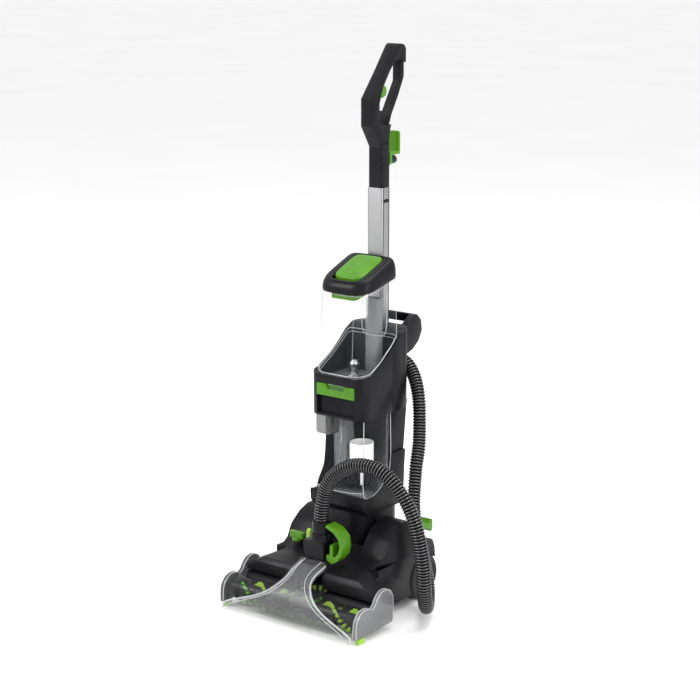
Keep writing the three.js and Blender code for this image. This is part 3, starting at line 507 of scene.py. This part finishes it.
# %% Pair CAD parts with finishes
cad_finishes = {
    "chassis": (charcoal_plastic, 0.001),
    "base_cover": (black_plastic, 0.0025),
    "brush_hood": (hood_clear, 0.0006),
    # The left cap's darker finish is painted shade; the right cap has the cap's own finish.
    "end_cap_left": (shaded_cap_clear, 0.0015),
    "end_cap_right": (cap_clear, 0.0015),
    "edge_brush_left": (lime_plastic, 0.0008),
    "edge_brush_right": (lime_plastic, 0.0008),
    "brush_motor": (axle_steel, 0.0006),
    "motor_pulley": (axle_steel, 0.0004),
    "drive_belt": (belt_rubber, 0.0004),
    "water_pump": (charcoal_plastic, 0.0006),
    "axle": (axle_steel, 0.0003),
    "wheel_left": (tyre_rubber, 0.001),
    "wheel_right": (tyre_rubber, 0.001),
    "front_roller_left": (duct_plastic, 0.0008),
    "front_roller_right": (duct_plastic, 0.0008),
    "recline_pedal": (green_plastic, 0.001),
    "power_pedal": (green_plastic, 0.001),
    "hose_connector": (black_plastic, 0.0015),
    "hose_lever": (green_plastic, 0.0016),
    "hose_cuff": (black_plastic, 0.001),
    "selector_knob": (green_plastic, 0.0016),
    "selector_tab": (lime_plastic, 0.001),
    "spine": (black_plastic, 0.0022),
    "carry_handle": (black_plastic, 0.004),
    "dirty_tank": (tank_clear, 0.0008),
    "tank_duct": (duct_clear, 0.0006),
    "float_cup": (white_plastic, 0.0008),
    "mid_housing": (black_plastic, 0.0018),
    "tank_latch": (green_plastic, 0.0012),
    "clean_tank": (tank_clear, 0.0006),
    "standpipe": (duct_clear, 0.0005),
    "tank_valve": (axle_steel, 0.0005),
    "lid_plug": (green_plastic, 0.0012),
    "pole": (pole_metal, 0.0006),
    "handle": (black_plastic, 0.003),
    "trigger": (green_plastic, 0.0015),
    "lock_button": (black_plastic, 0.0006),
    "hook_boss": (black_plastic, 0.0012),
    "cord_hook": (green_plastic, 0.0014),
    "suction_motor": (axle_steel, 0.0006),
    "suction_fan": (axle_steel, 0.0005),
    "cord_gland": (belt_rubber, 0.0008),
    "hose_port": (black_plastic, 0.002),
}
for node_name, (node_material, edge_radius) in cad_finishes.items():
    finish_node(node_name, node_material, edge_radius)
print("CAD parts finished:", len(cad_finishes))

# %% [markdown]
# ## Brush rolls
# Each roll is a dark core drilled with short helical rows of tufts, and each tuft is a fan of stiff nylon strands.
# Hair particles could make the strands, but particles do not ride or export as a mesh. Here every strand is a thin
# tapered prism, placed by the same helix rule for both rolls, mirrored so that the two rolls sweep the pile apart.

# %% Helpers for adding simple solids to one mesh
def add_prism(vertices, faces, foot, tip, foot_radius, tip_radius, sides, turn=0.0):
    """A tapered prism from foot to tip, appended to the lists."""
    axis = (tip - foot).normalized()
    across = axis.orthogonal().normalized()
    other = axis.cross(across)
    base = len(vertices)
    for centre, radius in ((foot, foot_radius), (tip, tip_radius)):
        for k in range(sides):
            a = 2 * math.pi * k / sides + turn
            vertices.append(centre + (across * math.cos(a) + other * math.sin(a)) * radius)
    for k in range(sides):
        j = (k + 1) % sides
        faces.append((base + k, base + j, base + sides + j, base + sides + k))
    faces.append(tuple(base + k for k in range(sides - 1, -1, -1)))
    faces.append(tuple(base + sides + k for k in range(sides)))


def shade_by_angle(obj, degrees=35):
    for polygon in obj.data.polygons:
        polygon.use_smooth = True
    obj.data.set_sharp_from_angle(angle=math.radians(degrees))


def lathe(vertices, faces, centre, profile, sides):
    """Adds a solid turned about X; profile is a list of (x, radius) in millimetres, from end to end."""
    base = len(vertices)
    for x, radius in profile:
        for k in range(sides):
            a = 2 * math.pi * k / sides
            vertices.append(
                Vector((x * MM, centre.y + radius * MM * math.cos(a), centre.z + radius * MM * math.sin(a)))
            )
    for i in range(len(profile) - 1):
        for k in range(sides):
            j = (k + 1) % sides
            faces.append(
                (base + i * sides + k, base + (i + 1) * sides + k, base + (i + 1) * sides + j, base + i * sides + j)
            )
    faces.append(tuple(base + k for k in range(sides)))
    last = base + (len(profile) - 1) * sides
    faces.append(tuple(last + k for k in range(sides - 1, -1, -1)))


# %% [markdown]
# Three rows of tufts wind round each core. In a tuft, one strand stands upright and eight lean outwards from it, with
# small differences in reach, so that the tuft looks cut from real nylon. The rear roll stays bare where its belt runs.

# %% Brush rolls
ROWS_OF_TUFTS = 3
TUFTS_PER_ROW = 31
FIRST_TUFT_X, TUFT_PITCH, ROW_SHIFT, LAST_TUFT_X = -137, 9.4, 3.1, 151
STRANDS = 9
STRAND_FACES = 6
STRAND_FOOT_RADIUS, STRAND_TIP_RADIUS = 0.0014, 0.0012
TUFT_FOOT, TUFT_REACH = 15.4, 26.2


def on_circle(centre, x, radius, angle):
    """A point beside the roll's axis, from millimetres along it and out from it."""
    return Vector((x * MM, centre.y + radius * MM * math.cos(angle), centre.z + radius * MM * math.sin(angle)))


def brush_roll(name, node, body, twist, belt=None):
    """A roll at a CAD roll's place; belt is the bare stretch along X, as (from, to)."""
    low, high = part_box(node)
    centre = (low + high) / 2
    vertices, faces = [], []
    lathe(
        vertices, faces, centre,
        [(-163, 4), (-156.5, 4), (-156, 16), (-151, 21), (-145, 21), (-144, 17), (-140, 16), (96, 16), (97, 12),
         (117, 12), (118, 16), (153, 16), (154, 18), (156, 18), (156.5, 4), (163, 4)],
        28,
    )
    core_faces = len(faces)
    tints = []
    for row in range(ROWS_OF_TUFTS):
        for step in range(TUFTS_PER_ROW):
            x = FIRST_TUFT_X + step * TUFT_PITCH + row * ROW_SHIFT
            on_belt = belt is not None and belt[0] < x < belt[1]
            if on_belt or x > LAST_TUFT_X:
                continue
            turn = row * 2 * math.pi / ROWS_OF_TUFTS + twist * step * 0.34
            for strand in range(STRANDS):
                ring = 0 if strand == 0 else 1
                spin = strand * 2 * math.pi / 8 + step
                lean_x = 2.6 * ring * math.cos(spin)
                lean_a = 0.085 * ring * math.sin(spin)
                reach = TUFT_REACH - 0.9 * ring - 0.5 * ((step * 7 + strand * 3) % 3)
                foot = on_circle(centre, x + lean_x * 0.6, TUFT_FOOT, turn + lean_a * 0.7)
                tip = on_circle(centre, x + lean_x, reach, turn + lean_a)
                add_prism(vertices, faces, foot, tip, STRAND_FOOT_RADIUS, STRAND_TIP_RADIUS, 4, strand)
                tints += [1 + (row % 2)] * STRAND_FACES
    roll = mesh_object(name, vertices, faces)
    for slot_material in (charcoal_plastic, lime_bristle, green_bristle):
        roll.data.materials.append(slot_material)
    for polygon in roll.data.polygons:
        polygon.material_index = 0 if polygon.index < core_faces else tints[polygon.index - core_faces]
    shade_by_angle(roll, 40)
    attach(roll, body)
    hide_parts(node)
    return roll


front_roll = brush_roll("front_brush", "front_brush_roll", "front_brush", 1)
rear_roll = brush_roll("rear_brush", "rear_brush_roll", "rear_brush", -1, belt=(97, 117))
print("strand faces:", len(front_roll.data.polygons), len(rear_roll.data.polygons))

# %% [markdown]
# ## Suction nozzle
# The nozzle is a flat clear funnel: a narrow slot as wide as the head at the floor, drawn in to a small mouth on top.
# It is lofted from closed rings, one per height, then given a wall by Solidify. Pale thin tubes run down both
# edges, where the clear plastic is thick: a painted highlight of those edges.

# %% Nozzle shape
nozzle_half_width = [
    (4, 159.5), (15, 159.5), (25, 137), (35, 110), (45, 84), (55, 65),
    (65, 51), (76, 40), (88, 31), (95, 30), (120, 30),
]
nozzle_front = [(-220, 4), (-219, 10), (-210, 41), (-190, 73), (-160, 99), (-140, 106.5), (-123, 112)]
nozzle_back = [(-213.5, 4), (-210.5, 12), (-203.5, 38), (-184.5, 67), (-156, 88), (-138, 93), (-123, 97)]


def read_table(table, value):
    """Straight-line reading of a table of (input, output) pairs."""
    if value <= table[0][0]:
        return table[0][1]
    for (a, b), (c, d) in zip(table, table[1:]):
        if value <= c:
            return b + (d - b) * (value - a) / (c - a)
    return table[-1][1]


def soft_width(z):
    """The half width at a height, averaged over a few millimetres so that the table's corners vanish."""
    reach = min(5.0, max(0.6, (z - 4) * 0.5))
    return sum(read_table(nozzle_half_width, z + reach * k / 4) for k in range(-4, 5)) / 9


def nozzle_rows(profile, rows):
    route = smooth_route([Vector((0, y, z)) for y, z in profile], 12)
    return [route[round(i * (len(route) - 1) / (rows - 1))] for i in range(rows)]


ROWS, COLUMNS = 40, 25
front_rows = nozzle_rows(nozzle_front, ROWS)
back_rows = nozzle_rows(nozzle_back, ROWS)
vertices, faces = [], []
for front, back in zip(front_rows, back_rows):
    width = soft_width(front.z)
    for k in range(COLUMNS):
        u = -1 + 2 * k / (COLUMNS - 1)
        vertices.append(at(u * width, front.y, front.z))
    for k in range(COLUMNS):
        u = 1 - 2 * k / (COLUMNS - 1)
        vertices.append(at(u * width, back.y, back.z))
RING = 2 * COLUMNS
for i in range(ROWS - 1):
    for k in range(RING):
        j = (k + 1) % RING
        faces.append((i * RING + k, i * RING + j, (i + 1) * RING + j, (i + 1) * RING + k))
nozzle = mesh_object("suction_nozzle", vertices, faces)
nozzle.data.materials.append(nozzle_clear)
shade_by_angle(nozzle, 50)
wall = nozzle.modifiers.new("wall", "SOLIDIFY")
wall.thickness = 0.0018
wall.offset = -1
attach(nozzle, "base")
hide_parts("nozzle")

# %% [markdown]
# A highlight line is a thin round tube swept along a line, in a pale clear finish: a painted highlight. One runs
# down each edge, and a finer one follows it inside. Three more are meant to frame the mouth, the throat and the lip at
# the floor, but they have no thickness and don't show: they set out along X, where swept_tube starts its normal, so
# their rings shrink to points.

# %% Painted highlight lines on the clear plastic
HIGHLIGHT_LINE_SIDES = 8


def highlight_line(name, points, radius, body):
    """A round pale tube along a line of points: a painted highlight line."""
    tube = swept_tube(name, points, lambda i: radius, HIGHLIGHT_LINE_SIDES)
    tube.data.materials.append(highlight_line_clear)
    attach(tube, body)


for side, label in ((-1, "left"), (1, "right")):
    edge = []
    for front, back in zip(front_rows, back_rows):
        edge.append(at(side * (soft_width(front.z) - 1.2), (front.y + back.y) / 2, (front.z + back.z) / 2))
    highlight_line("nozzle_edge_" + label, edge, 0.0021, "base")
    inner = []
    for i, front in enumerate(front_rows[5:]):
        inset = 9 + 6 * (1 - i / ROWS)
        inner.append(at(side * (soft_width(front.z) - inset), front.y - 0.4, front.z))
    highlight_line("nozzle_line_" + label, inner, 0.0008, "base")
mouth = [(-29, -99), (29, -99), (29, -122), (-29, -122), (-29, -99)]
highlight_line("nozzle_mouth", [at(x, y, 110.5) for x, y in mouth], 0.0014, "base")
throat = [(-24, -146, 104.6), (24, -146, 104.6), (26, -127, 110.4), (-26, -127, 110.4), (-24, -146, 104.6)]
highlight_line("nozzle_throat", [at(*p) for p in throat], 0.0009, "base")
lip = [at(x, -219.3, 5.2) for x in range(-156, 157, 12)]
highlight_line("nozzle_lip", lip, 0.0012, "base")
print("nozzle rings:", ROWS, "of", RING)

# %% [markdown]
# ## Black band over the rear brush
# Only the front brush is on show. Over the rear one the hood carries a black band, a curved sheet that follows the
# roll from the cover's brow down to the waist between the rolls, with a gap in the middle for the nozzle.

# %% Rear brush band
rear_low, rear_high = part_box("rear_brush_roll")
rear_axis = (rear_low + rear_high) / 2
for side, label in ((-1, "left"), (1, "right")):
    rows = []
    for i in range(15):
        a = math.radians(52 + i * 7.4)
        radius = (32.6 if i < 14 else 31.6) * MM
        along_x = [side * x for x in (36, 60, 90, 120, 150, 159.4)]
        rows.append([Vector((x * MM, rear_axis.y + radius * math.cos(a), rear_axis.z + radius * math.sin(a)))
                     for x in along_x])
    vertices = [point for row in rows for point in row]
    faces = [(i * 6 + k, (i + 1) * 6 + k, (i + 1) * 6 + k + 1, i * 6 + k + 1) for i in range(14) for k in range(5)]
    band = mesh_object("hood_band_" + label, vertices, faces)
    band.data.materials.append(black_plastic)
    shade_by_angle(band, 50)
    band_wall = band.modifiers.new("wall", "SOLIDIFY")
    band_wall.thickness = 0.0014
    band_wall.offset = 0
    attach(band, "base")

# %% [markdown]
# ## Painted highlight lines on the clear end caps
# The end caps are cut from thicker clear plastic. Their polished rims catch the light all the way round, so a fine
# pale tube follows each cap's two-lobed outline on the outer and on the inner face, as a painted highlight.

# %% End cap rim highlights
cap_outline = [
    (-91, 16), (-90.5, 40), (-92, 66), (-100, 80), (-114, 86), (-130, 84), (-142, 74), (-150, 63), (-158, 59),
    (-170, 64), (-184, 65), (-197, 60), (-207, 48), (-210, 34), (-210, 14),
]
for side, label in ((-1, "left"), (1, "right")):
    for x, ring in ((169.0, "outer"), (161.5, "inner")):
        rim = smooth_route([at(side * x, y, z) for y, z in cap_outline], 6)
        highlight_line("cap_rim_%s_%s" % (ring, label), rim, 0.001, "base")
print("cap rims: 4")

# %% [markdown]
# ## Clean-water tank lid
# The lid is a pillow with soft shoulders, sloping up towards the pole, with a shallow well for the fill flap. It is
# lofted from superellipse rings: one formula gives a rounder front and a squarer back, and each ring only needs an
# inset and a height. Modelling it from a cube would need many loops to keep the same even shoulders.

# %% Lid rings
def lid_edge(y):
    return 629 + 0.21 * (y + 50)


def lid_top(y):
    return lid_edge(y) + 20 + 0.17 * (y + 50)


def oval(half_x, y0, y1, count, front_power, rear_power):
    """Points of a superellipse with a different squareness at the front and the back."""
    points = []
    for k in range(count):
        a = 2 * math.pi * k / count
        c, s = math.cos(a), math.sin(a)
        power = 2 / (front_power if s < 0 else rear_power)
        x = half_x * math.copysign(abs(c) ** power, c)
        y = (y0 + y1) / 2 + (y1 - y0) / 2 * math.copysign(abs(s) ** power, s)
        points.append((x, y))
    return points


def loft(name, rings):
    """A closed solid through rings of equal length, from its first ring to its last."""
    vertices = [point for ring in rings for point in ring]
    count = len(rings[0])
    faces = []
    for i in range(len(rings) - 1):
        for k in range(count):
            j = (k + 1) % count
            faces.append((i * count + k, i * count + j, (i + 1) * count + j, (i + 1) * count + k))
    faces.append(tuple(range((len(rings) - 1) * count, len(rings) * count)))
    faces.append(tuple(range(count - 1, -1, -1)))
    return mesh_object(name, vertices, faces)


LID_POINTS = 96
lid_rings = []
lid_shoulder = (
    (2.2, 0.0), (0.4, 0.03), (0, 0.16), (0.5, 0.42), (2.0, 0.66), (4.6, 0.85), (8.0, 0.95), (12, 0.985),
)
for inset, share in lid_shoulder:
    ring = oval(60 - inset, -38 + inset, 76 - inset * 0.55, LID_POINTS, 3.6, 9)
    lid_rings.append([at(x, y, lid_edge(y) + share * (lid_top(y) - lid_edge(y))) for x, y in ring])
for grow, drop in ((3.0, 0.2), (1.6, 0.6), (0.9, 2.0), (0.8, 10.0)):
    ring = oval(35 + grow, -27 - grow * 1.4, 68.2 + grow * 0.4, LID_POINTS, 4.2, 6)
    lid_rings.append([at(x, y, lid_top(y) - drop) for x, y in ring])
lid = loft("tank_cap", lid_rings)
lid.data.materials.append(black_plastic)
shade_by_angle(lid, 60)
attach(lid, "upper_tank")
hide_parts("tank_lid")

# %% [markdown]
# The fill flap is a second, smaller pillow in the lid's well. It swings about its rear edge, so the well is a little
# longer than the flap there, and the flap's corner can pass when it opens.

# %% Fill flap
pad_rings = []
for inset, lift in ((1.5, -7.2), (0.3, -6.5), (0, -1.0), (0.5, 0.4), (1.8, 1.2), (5, 1.7), (14, 2.2), (26, 2.4)):
    ring = oval(34.6 - inset, -17.5 + inset, 64.2 - inset, LID_POINTS, 4.6, 6)
    pad_rings.append([at(x, y, lid_top(y) + lift) for x, y in ring])
pad = loft("fill_cover", pad_rings)
pad.data.materials.append(green_plastic)
shade_by_angle(pad, 60)
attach(pad, "fill_flap")
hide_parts("lid_pad")
print("lid spans", [round(v * 1000) for v in lid.dimensions], "mm")

# %% [markdown]
# ## Painted highlight lines where the clear tanks meet the housing
# Where a clear tank sits in its black cup, the foot of the tank is a thick flange, and its edge reads as a bright
# line, made here as a painted highlight: a pale thin tube. The line follows the cup's sloping rim, so it is computed
# from the same rim table and the tank's own taper.

# %% Tank highlight lines
rim_height = [(-50, 469), (-20, 476), (20, 497), (45, 515), (70, 536), (92, 547), (118, 552)]


def tank_ring(z, count, grow=0.0):
    """The clean tank's outline at a height, tapered from its foot to its lid."""
    share = (z - 453) / (lid_edge(10) - 453)
    half_x = 63 - 5 * share + grow
    front = -47 + 14 * share - grow
    return oval(half_x, front, 72 + grow, count, 4.2, 14)


def rim_line(offset, grow, count=120):
    points = []
    for k in range(count):
        z = 500.0
        for _ in range(6):
            x, y = tank_ring(z, count, grow)[k]
            z = read_table(rim_height, y) + offset
        points.append(at(x, y, z))
    return points + [points[0]]


highlight_line("tank_foot_line", rim_line(1.6, -0.2), 0.0011, "upper_tank")
highlight_line("tank_foot_line_low", rim_line(-3.2, -2.6), 0.0007, "upper_tank")
top_line = [at(x * 0.99, y, lid_edge(y) - 3) for x, y in tank_ring(628, 120, -0.3)]
highlight_line("tank_top_line", top_line + [top_line[0]], 0.0007, "upper_tank")

# The side lines and the chute line are painted highlights too: bright edges of the tank's corners and of the clear
# chute inside.
side_lines = (
    ("left", (-59.4, -41), (-53.0, -23), 0.0006),
    ("right", (61.9, 69.7), (57.0, 69.7), 0.0006),
    ("front", (36, -46.8), (31, -33), 0.0003),
)
for label, foot, head, radius in side_lines:
    highlight_line("tank_side_line_" + label, [at(*foot, 478), at(*head, 620)], radius, "upper_tank")
chute = [(-9.5, 50, 627), (-9.5, 50, 547), (-3, 50, 538), (19, 50, 536), (42, 50, 540), (48, 50, 551), (50, 50, 632)]
highlight_line("tank_chute_line", smooth_route([at(*p) for p in chute], 6), 0.0009, "upper_tank")

# %% [markdown]
# ## Painted shadow in the grooves down the pole
# The pole is an extrusion, and the die leaves a groove near each edge of its narrow sides. Each groove is shown
# by a thin dark strip set into the wall: a painted shadow, where the groove's shade falls. Each groove is shown by a
# thin dark strip set into the wall, because the pole's own CAD mesh may not be cut.

# %% Pole groove shadows
GROOVE_FROM_EDGE = 0.0034
GROOVE_HALF_WIDTH = 0.0009
GROOVE_SUNK, GROOVE_PROUD = -0.0008, 0.0004
GROOVE_FOOT, GROOVE_HEAD = 0.06, 0.001
BAR_FACES = [(0, 1, 5, 4), (1, 2, 6, 5), (2, 3, 7, 6), (3, 0, 4, 7), (3, 2, 1, 0), (4, 5, 6, 7)]
groove_section = [
    (GROOVE_SUNK, -GROOVE_HALF_WIDTH), (GROOVE_PROUD, -GROOVE_HALF_WIDTH),
    (GROOVE_PROUD, GROOVE_HALF_WIDTH), (GROOVE_SUNK, GROOVE_HALF_WIDTH),
]
pole_low, pole_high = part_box("pole")
for side, label in ((-1, "left"), (1, "right")):
    wall_x = pole_high.x if side > 0 else pole_low.x
    for y, place in ((pole_low.y + GROOVE_FROM_EDGE, "front"), (pole_high.y - GROOVE_FROM_EDGE, "back")):
        vertices = []
        for z in (pole_low.z + GROOVE_FOOT, pole_high.z - GROOVE_HEAD):
            for out, along in groove_section:
                vertices.append(Vector((wall_x + side * out, y + along, z)))
        groove_shade = mesh_object("pole_groove_%s_%s" % (place, label), vertices, BAR_FACES)
        # The charcoal strip is a painted shadow in the groove.
        groove_shade.data.materials.append(charcoal_plastic)
        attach(groove_shade, "upper")
print("pole grooves: 4")

# %% [markdown]
# The waste tank gets the same painted highlight lines, down both sides and along its foot. The two round its rim set
# out along X, so they have no thickness and don't show, like the three at the nozzle.

# %% Waste tank highlight lines
waste_profile = [(-45, 384), (-45, 234), (-38, 227), (-10, 228), (16, 240), (37, 262), (46, 278), (46, 384)]
for side, label in ((-1, "left"), (1, "right")):
    line = smooth_route([at(side * 63.6, y * 0.97, z + 0.6) for y, z in waste_profile], 4)
    highlight_line("waste_edge_" + label, line, 0.0009, "upper")
for z, label, radius in ((383.5, "top", 0.0009), (379, "second", 0.0006)):
    ring = [(-60, -44.6), (60, -44.6), (64, -40), (64, 41), (60, 45), (-60, 45), (-64, 41), (-64, -40), (-60, -44.6)]
    highlight_line("waste_rim_" + label, [at(x, y, z) for x, y in ring], radius, "upper")
low = smooth_route([at(x, -44.6 + 0.004 * abs(x) ** 1.6, 233 + 0.0016 * x * x) for x in range(-60, 61, 10)], 3)
highlight_line("waste_foot_line", low, 0.0009, "upper")
print("waste tank lines: 5")

# %% [markdown]
# ## Inlet box of the waste tank
# Dirty water enters the waste tank through a smoky box under its lid. It is a lofted tray with a rounded foot, so that
# the wet air turns downwards there. The box hangs from the tank's rim and stands clear of the float.

# %% Inlet box
inlet_rings = []
for z, inset in ((382, 0.0), (349, 0.0), (345, 1.0), (343.5, 3.0)):
    ring = oval(19 - inset, -41 + inset, -12 - inset, 48, 14, 14)
    inlet_rings.append([at(x - 39, y, z) for x, y in ring])
inlet = loft("tank_inlet_box", inlet_rings)
inlet.data.materials.append(inlet_smoke)
shade_by_angle(inlet, 50)
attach(inlet, "upper")
print("inlet box spans", [round(v * 1000) for v in inlet.dimensions], "mm")

# %% [markdown]
# ## Flank beside the waste tank
# On its left the waste tank leans against a thin black flank of the body, which sweeps forward into the cradle. It is a
# smoothed outline given a small thickness, since such a panel is a flat rib of the moulding.

# %% Tank flank
FLANK_LEFT_X, FLANK_RIGHT_X = -66.9, -65.5
flank_profile = [
    (50, 222), (52, 300), (50, 382), (24, 383), (7, 382), (3, 322),
    (0, 290), (-5, 266), (-22, 240), (-26, 226), (8, 222),
]
flank_line = smooth_route([Vector((0, y, z)) for y, z in flank_profile], 4)
vertices = [at(x, p.y, p.z) for x in (FLANK_LEFT_X, FLANK_RIGHT_X) for p in flank_line]
count = len(flank_line)
faces = [(k, (k + 1) % count, count + (k + 1) % count, count + k) for k in range(count)]
faces += [tuple(range(count - 1, -1, -1)), tuple(range(count, 2 * count))]
flank = mesh_object("tank_flank", vertices, faces)
flank.data.materials.append(black_plastic)
shade_by_angle(flank, 40)
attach(flank, "upper")
print("flank spans", [round(v * 1000) for v in flank.dimensions], "mm")

# %% [markdown]
# ## Latch scoop
# The latch is pulled with two fingers, so its middle is scooped out. The hollow behind the bar is a darker green:
# painted shade in the recess.

# %% Latch scoop
SCOOP_HALF_X = 23.5
vertices, faces = [], []
for i in range(9):
    u = -1 + i / 4
    for z, y in ((452, -49.2), (447, -48.6 + 1.2 * (1 - u * u)), (442, -48.4 + 1.4 * (1 - u * u)), (440, -49.4)):
        vertices.append(at(u * SCOOP_HALF_X, y, z))
for i in range(8):
    for k in range(3):
        faces.append((i * 4 + k, (i + 1) * 4 + k, (i + 1) * 4 + k + 1, i * 4 + k + 1))
scoop = mesh_object("latch_scoop", vertices, faces)
# The darker green is painted shade in the hollow.
scoop.data.materials.append(shaded_green_plastic)
shade_by_angle(scoop, 60)
scoop_wall = scoop.modifiers.new("wall", "SOLIDIFY")
scoop_wall.thickness = 0.0008
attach(scoop, "latch")
print("scoop faces:", len(scoop.data.polygons))
